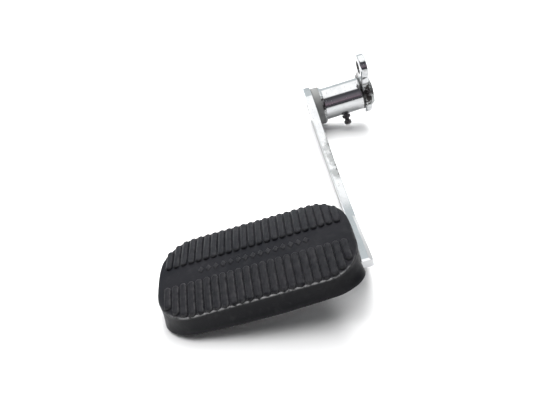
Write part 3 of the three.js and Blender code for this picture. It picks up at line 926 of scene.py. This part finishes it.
def make_lever():
    """The push-rod lever: an eye and a hub ring, joined by a waisted neck."""
    mount = Vector(MOUNTS["pushrod_eye_inner_face"]["pos_m"])
    near_eye = PEDAL.inverted() @ mount
    eye = (near_eye.y - MOUNT_FROM_EYE, near_eye.z)
    hub = (PIVOT_Y, PIVOT_Z)
    lean = math.atan2(eye[1] - hub[1], eye[0] - hub[0])
    eye_radius = LEVER_HIGH.z - eye[1]
    hub_radius = LEVER_HIGH.y - hub[0]
    middle = tuple(hub[k] + (eye[k] - hub[k]) * LEVER_WAIST_PLACE for k in range(2))
    across = (math.sin(lean) * LEVER_WAIST, -math.cos(lean) * LEVER_WAIST)
    rear_waist = (middle[0] + across[0], middle[1] + across[1])
    front_waist = (middle[0] - across[0], middle[1] - across[1])
    eye_start, eye_end = lean - LEVER_EYE_OPEN, lean + LEVER_EYE_OPEN
    outline = arc(hub, hub_radius, lean + LEVER_HUB_OPEN, lean - LEVER_HUB_OPEN + 2 * math.pi, 48)
    outline += bend(outline[-1], rear_waist, on_circle(eye, eye_radius, eye_start))
    outline += arc(eye, eye_radius, eye_start, eye_end, 36)[1:]
    outline += bend(outline[-1], front_waist, outline[0])[:-1]
    holes = [circle(eye, LEVER_HOLE_RADIUS, 48), circle(hub, SPIGOT_RADIUS + 0.05 * MM)]
    shape = side_plate([outline] + holes, LEVER_LOW.x - 0.25 * MM, LEVER_HIGH.x, LEVER_EDGE)

    def lever_painted_shade(point):
        from_hub = math.hypot(point.y - hub[0], point.z - hub[1])
        from_eye = math.hypot(point.y - eye[0], point.z - eye[1])
        # Painted shade inside the eye's hole.
        if from_eye < LEVER_HOLE_RADIUS + MM:
            return 1.0
        # Painted dark reflection over the upper hub, and a little everywhere else.
        on_hub = from_hub < hub_radius + 4 * MM and point.z > hub[1] - 3 * MM
        return 0.88 if on_hub else 0.3

    paint_shade_shares(shape, lever_painted_shade)
    lever = piece_from_bmesh("pushrod_eye_lever", shape, CHROME, ["pushrod_lever"])
    flatten_shading(lever)


# ---- bushes and dust seals ----
def make_bushes_and_seals():
    """A bronze bush and a lipped dust seal at each end of the bore."""
    for side in ("outer", "inner"):
        low, high = cad(f"{side}_bush")
        outer = (high.y - low.y) / 2 + 0.25 * MM
        inner = SHAFT_RADIUS
        profile = rounded([
            (outer, low.x, 0.4 * MM), (outer, high.x, 0.4 * MM),
            (inner, high.x, 0.5 * MM), (inner, low.x, 0.5 * MM),
        ])
        shape = lathe(profile, PIVOT)
        piece_from_bmesh(f"{side}_bronze_bush", shape, BRONZE, [f"{side}_bush"])
        low, high = cad(f"{side}_dust_seal")
        face, back = (low.x, high.x) if side == "outer" else (high.x, low.x)
        inward = 1 if back > face else -1
        step = 0.5 * MM * inward
        profile = [
            (outer, back), (outer, face), (outer - 0.6 * MM, face), (outer - 0.7 * MM, face + step),
            (inner + 0.9 * MM, face + step), (inner + 0.2 * MM, face + 0.1 * step), (inner, face + step),
            (inner + 0.1 * MM, face + 2 * step), (inner + 0.7 * MM, back),
        ]
        shape = lathe(profile, PIVOT)
        stands_for = [f"{side}_dust_seal"]
        piece_from_bmesh(f"{side}_lip_seal", shape, SEAL_RUBBER, stands_for, 50)


# ---- the grease fitting, its ball and its spring ----
CHECK_SLIDE = Vector(CHECK_JOINT["axis"]).normalized()
FITTING_OUT = -(TURN.inverted().to_3x3() @ CHECK_SLIDE)
fitting_low, fitting_high = cad("grease_fitting")
FITTING_X = (fitting_low.x + fitting_high.x) / 2
ball_low, ball_high = cad("check_ball")
BALL_CENTRE = (ball_low + ball_high) / 2
FITTING_ROOT = Vector((FITTING_X, PIVOT_Y, PIVOT_Z))
FITTING = Matrix.Translation(FITTING_ROOT) @ FITTING_OUT.to_track_quat("Z", "X").to_matrix().to_4x4()
BALL_PLACE = (BALL_CENTRE - FITTING_ROOT).length


def make_fitting():
    """The grease nipple: shank, hexagon, neck and head outside, mouth and ball chamber inside."""
    wall = TUBE_RADIUS + CLEARANCE
    tip = BALL_PLACE + 1.05 * BALL_RADIUS + MM
    seat = tip - MM
    chamber = BALL_RADIUS + 0.25 * MM
    chamber_floor = wall - 2.6 * MM
    shank_end = wall - SOCKET_DEPTH
    collar = wall + HEXAGON_HEIGHT
    profile = [
        (SHANK_RADIUS, shank_end), (SHANK_RADIUS, wall - 0.1 * MM), (3.3 * MM, wall),
        (HEXAGON_RADIUS, wall + 0.35 * MM), (HEXAGON_RADIUS, collar - 0.4 * MM), (3.5 * MM, collar),
        (2.4 * MM, collar + 0.25 * MM), (NECK_RADIUS, collar + 0.8 * MM), (NECK_RADIUS, collar + 1.5 * MM),
        (2.4 * MM, collar + 2.0 * MM), (3.1 * MM, collar + 2.4 * MM), (HEAD_RADIUS, collar + 2.9 * MM),
        (HEAD_RADIUS, tip - 1.6 * MM), (2.9 * MM, tip - 0.9 * MM), (2.2 * MM, tip - 0.2 * MM),
        (1.5 * MM, tip), (0.75 * MM, tip), (MOUTH_RADIUS, tip - 0.3 * MM), (0.75 * MM, seat + 0.3 * MM),
        (chamber, seat - 0.6 * MM), (chamber, chamber_floor), (MOUTH_RADIUS, chamber_floor),
        (MOUTH_RADIUS, shank_end),
    ]
    shape = lathe(profile, FITTING, 72, flats=(wall + 0.2 * MM, collar - 0.3 * MM))
    piece_from_bmesh("nipple_body", shape, DARK_STEEL, ["grease_fitting"], 30)


def make_spring():
    """The coil under the check ball, which in the real fitting closes up as the ball is pushed in."""
    coil = BALL_RADIUS - 0.3 * MM
    foot = TUBE_RADIUS - 2.0 * MM
    top = BALL_PLACE - BALL_RADIUS
    steps = 20 * SPRING_TURNS
    sides = 8
    shape = bmesh.new()
    rings = []
    for step in range(steps + 1):
        turn = 2 * math.pi * SPRING_TURNS * step / steps
        along = foot + SPRING_WIRE + (top - foot - 2 * SPRING_WIRE) * step / steps
        radial = Vector((math.cos(turn), math.sin(turn), 0))
        ring = []
        for side in range(sides):
            angle = 2 * math.pi * side / sides
            outward = radial * (math.cos(angle) * SPRING_WIRE)
            offset = outward + Vector((0, 0, math.sin(angle) * SPRING_WIRE))
            ring.append(FITTING @ (radial * coil + Vector((0, 0, along)) + offset))
        rings.append(ring)
    cap_ends(shape, bridge_rings(shape, rings))
    spring = piece_from_bmesh("check_coil", shape, BARE_STEEL, ["check_spring"])
    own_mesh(spring)


# ---- weld beads at the bracket ----
def make_bead(name, node, corner, across, up, run):
    """A rippled fillet. From its corner it fills along across and up, and it runs along run."""
    shape = bmesh.new()
    corner, across, up, run = (Vector(v) for v in (corner, across, up, run))
    ripples = max(round(run.length / (1.3 * MM)), 3)
    steps = ripples * 6
    section_steps = 8
    rings = []
    for step in range(steps + 1):
        t = step / steps
        end_taper = min(1, 0.55 + 6 * min(t, 1 - t))
        ripple = math.sin(math.pi * ((t * ripples) % 1))
        swell = (1 + 0.09 * ripple) * end_taper
        drift = 0.9 * MM * ripple / ripples
        ring = [corner + run * t]
        for i in range(section_steps + 1):
            angle = math.pi / 2 * i / section_steps
            fill = 0.80 + 0.12 * math.sin(2 * angle)
            reach = across * math.cos(angle) + up * math.sin(angle)
            ring.append(corner + run * t + reach * fill * swell + run.normalized() * drift)
        rings.append(ring)
    cap_ends(shape, bridge_rings(shape, rings))
    piece_from_bmesh(name, shape, BARE_STEEL, [node], 60)


def make_bracket_beads():
    """The four beads that hold the bracket: two along the plate and two along the arm."""
    low, high = cad("plate_weld_rear")
    leg = high.y - low.y
    down = (0, 0, -leg)
    along = (high.x - low.x, 0, 0)
    start = (low.x, low.y, high.z)
    make_bead("plate_bead_rear", "plate_weld_rear", start, (0, leg, 0), down, along)
    low, high = cad("plate_weld_front")
    start = (low.x, high.y, high.z)
    make_bead("plate_bead_front", "plate_weld_front", start, (0, -leg, 0), down, along)
    low, high = cad("arm_weld_lower")
    along = (0, high.y - low.y, 0)
    start = (high.x, low.y, high.z)
    make_bead("arm_bead_lower", "arm_weld_lower", start, (-leg, 0, 0), down, along)
    low, high = cad("arm_weld_rear")
    along = (0, 0, high.z - low.z)
    start = (high.x, low.y, low.z)
    make_bead("arm_bead_rear", "arm_weld_rear", start, (-leg, 0, 0), (0, leg, 0), along)


# ---- finishes for the kept CAD pieces ----
def join_corners(node):
    """Joins the loose triangles, so that a bevel or a rounding treats them as one surface."""
    weld = node.modifiers.new("join", "WELD")
    weld.merge_threshold = 0.002 * MM


def finish_cad_nodes():
    edges = {"pad_plate": 0.5 * MM, "pad_bracket": 0.8 * MM}
    for name in (*edges, "check_ball"):
        node = frame["nodes"][name]
        node.data.materials.clear()
        node.data.materials.append(BARE_STEEL)
        join_corners(node)
    for name, edge in edges.items():
        bevel = frame["nodes"][name].modifiers.new("soft_edges", "BEVEL")
        bevel.width = edge
        bevel.segments = 3
        bevel.angle_limit = math.radians(40)
    smooth = frame["nodes"]["check_ball"].modifiers.new("round", "SUBSURF")
    smooth.levels = 1
    smooth.render_levels = 1


# ---- studio ----
def make_camera():
    """A close, slightly high view over the pad's front edge."""
    data = bpy.data.cameras.new("camera")
    data.sensor_width = 36
    data.lens = 31.4
    camera = bpy.data.objects.new("camera", data)
    right = Vector((0.9567, -0.1230, -0.2639))
    down = Vector((-0.2789, -0.6471, -0.7096))
    ahead = Vector((-0.0835, 0.7525, -0.6533))
    turn = Matrix((right, -down, -ahead)).transposed()
    place = Vector((0.0438, -0.1945, 0.1987))
    camera.matrix_world = PEDAL @ (Matrix.Translation(place) @ turn.to_4x4())
    bpy.context.scene.collection.objects.link(camera)
    bpy.context.scene.camera = camera


def smooth_step(tree, value, start, end):
    """Rises smoothly from 0 to 1 as the value goes from start to end."""
    node = tree.nodes.new("ShaderNodeMapRange")
    node.interpolation_type = "SMOOTHSTEP"
    node.inputs["From Min"].default_value = start
    node.inputs["From Max"].default_value = end
    tree.links.new(value, node.inputs["Value"])
    return node.outputs["Result"]


def make_world():
    """White to look at. Metal mirrors a dark stretch in front and a grey wall behind, and the soft
    fill is weaker from the front."""
    world = bpy.data.worlds.new("studio")
    world.use_nodes = True
    tree = world.node_tree
    place = tree.nodes.new("ShaderNodeTexCoord")
    split = tree.nodes.new("ShaderNodeSeparateXYZ")
    tree.links.new(place.outputs["Generated"], split.inputs["Vector"])
    to_front = smooth_step(tree, split.outputs["Y"], -0.02, -0.12)
    below_lamp = smooth_step(tree, split.outputs["Z"], 0.95, 0.90)
    to_back = smooth_step(tree, split.outputs["Y"], 0.02, 0.12)
    below_shelf = smooth_step(tree, split.outputs["Z"], 0.66, 0.50)
    dark_front = multiply(tree, to_front, below_lamp)
    grey_back = multiply(tree, to_back, below_shelf)
    cloud = noise(tree, 3.0, detail=2)
    room = ramp(tree, split.outputs["Z"], [
        (0.0, (0.04, 0.04, 0.045)), (0.22, (0.06, 0.055, 0.065)), (0.38, (0.36, 0.26, 0.31)),
        (0.56, (0.26, 0.24, 0.27)), (0.78, (0.09, 0.09, 0.10)), (1.0, (0.09, 0.09, 0.10)),
    ])
    patches = ramp(tree, cloud, [(0.35, 0.0), (0.65, 0.6)])
    dark_tone = mix(tree, patches, room, (0.12, 0.11, 0.125))
    tone = mix(tree, dark_front, (1.65, 1.65, 1.65), dark_tone)
    tone = mix(tree, grey_back, tone, (0.84, 0.90, 0.92))
    rays = tree.nodes.new("ShaderNodeLightPath")
    soft = mix(tree, to_front, (0.34, 0.35, 0.36), (0.08, 0.08, 0.085))
    seen = mix(tree, rays.outputs["Is Diffuse Ray"], (1.1, 1.1, 1.1), soft)
    seen = mix(tree, rays.outputs["Is Glossy Ray"], seen, tone)
    tree.links.new(seen, tree.nodes["Background"].inputs["Color"])
    return world


def lamp(name, place, target, size, energy, spread=180):
    """A soft rectangular lamp that reflections don't show."""
    light = bpy.data.lights.new(name, "AREA")
    light.shape = "RECTANGLE"
    light.size, light.size_y = size
    light.energy = energy
    light.spread = math.radians(spread)
    holder = bpy.data.objects.new(name, light)
    holder.location = place
    holder.rotation_euler = (Vector(target) - Vector(place)).to_track_quat("-Z", "Y").to_euler()
    holder.visible_glossy = False
    bpy.context.scene.collection.objects.link(holder)


def make_floor():
    """The pale table top. Reflections see it darker towards the frame side, under the hub."""
    half = FLOOR_SIZE / 2
    corners = [(-half, -half, 0), (half, -half, 0), (half, half, 0), (-half, half, 0)]
    mesh = bpy.data.meshes.new("floor")
    mesh.from_pydata(corners, [], [(0, 1, 2, 3)])
    material, tree, shader = new_material("floor")
    shader.inputs["Roughness"].default_value = 1
    mesh.materials.append(material)
    sheet = bpy.data.objects.new("floor", mesh)
    bpy.context.scene.collection.objects.link(sheet)
    place = tree.nodes.new("ShaderNodeTexCoord")
    split = tree.nodes.new("ShaderNodeSeparateXYZ")
    tree.links.new(place.outputs["Object"], split.inputs["Vector"])
    under_tube = smooth_step(tree, split.outputs["X"], -0.01, 0.05)
    mirrored = mix(tree, under_tube, (0.9, 0.9, 0.9), (0.58, 0.58, 0.58))
    rays = tree.nodes.new("ShaderNodeLightPath")
    tone = mix(tree, rays.outputs["Is Glossy Ray"], (0.9, 0.9, 0.9), mirrored)
    tree.links.new(tone, shader.inputs["Base Color"])


def make_studio():
    scene = bpy.context.scene
    scene.view_settings.view_transform = "Standard"
    scene.world = make_world()
    make_floor()
    lamp("overhead", (-0.10, 0.24, 1.1), (0, 0, 0), (1.6, 1.3), 27)
    lamp("behind_hub", (0.02, 0.50, 0.50), (0.03, 0.09, 0), (0.5, 0.4), 1.0, spread=55)


make_camera()
make_pad()
make_arm()
make_hub_plate()
make_tube()
make_weld("hub_weld_bead", "hub_weld", TUBE_RADIUS - BEAD_OVERLAP, HUB_HIGH.x - BEAD_OVERLAP)
make_weld("lever_weld_bead", "lever_weld", SPIGOT_RADIUS - BEAD_OVERLAP, LEVER_HIGH.x - BEAD_OVERLAP)
make_lever()
make_bushes_and_seals()
make_fitting()
make_spring()
make_bracket_beads()
finish_cad_nodes()
make_studio()
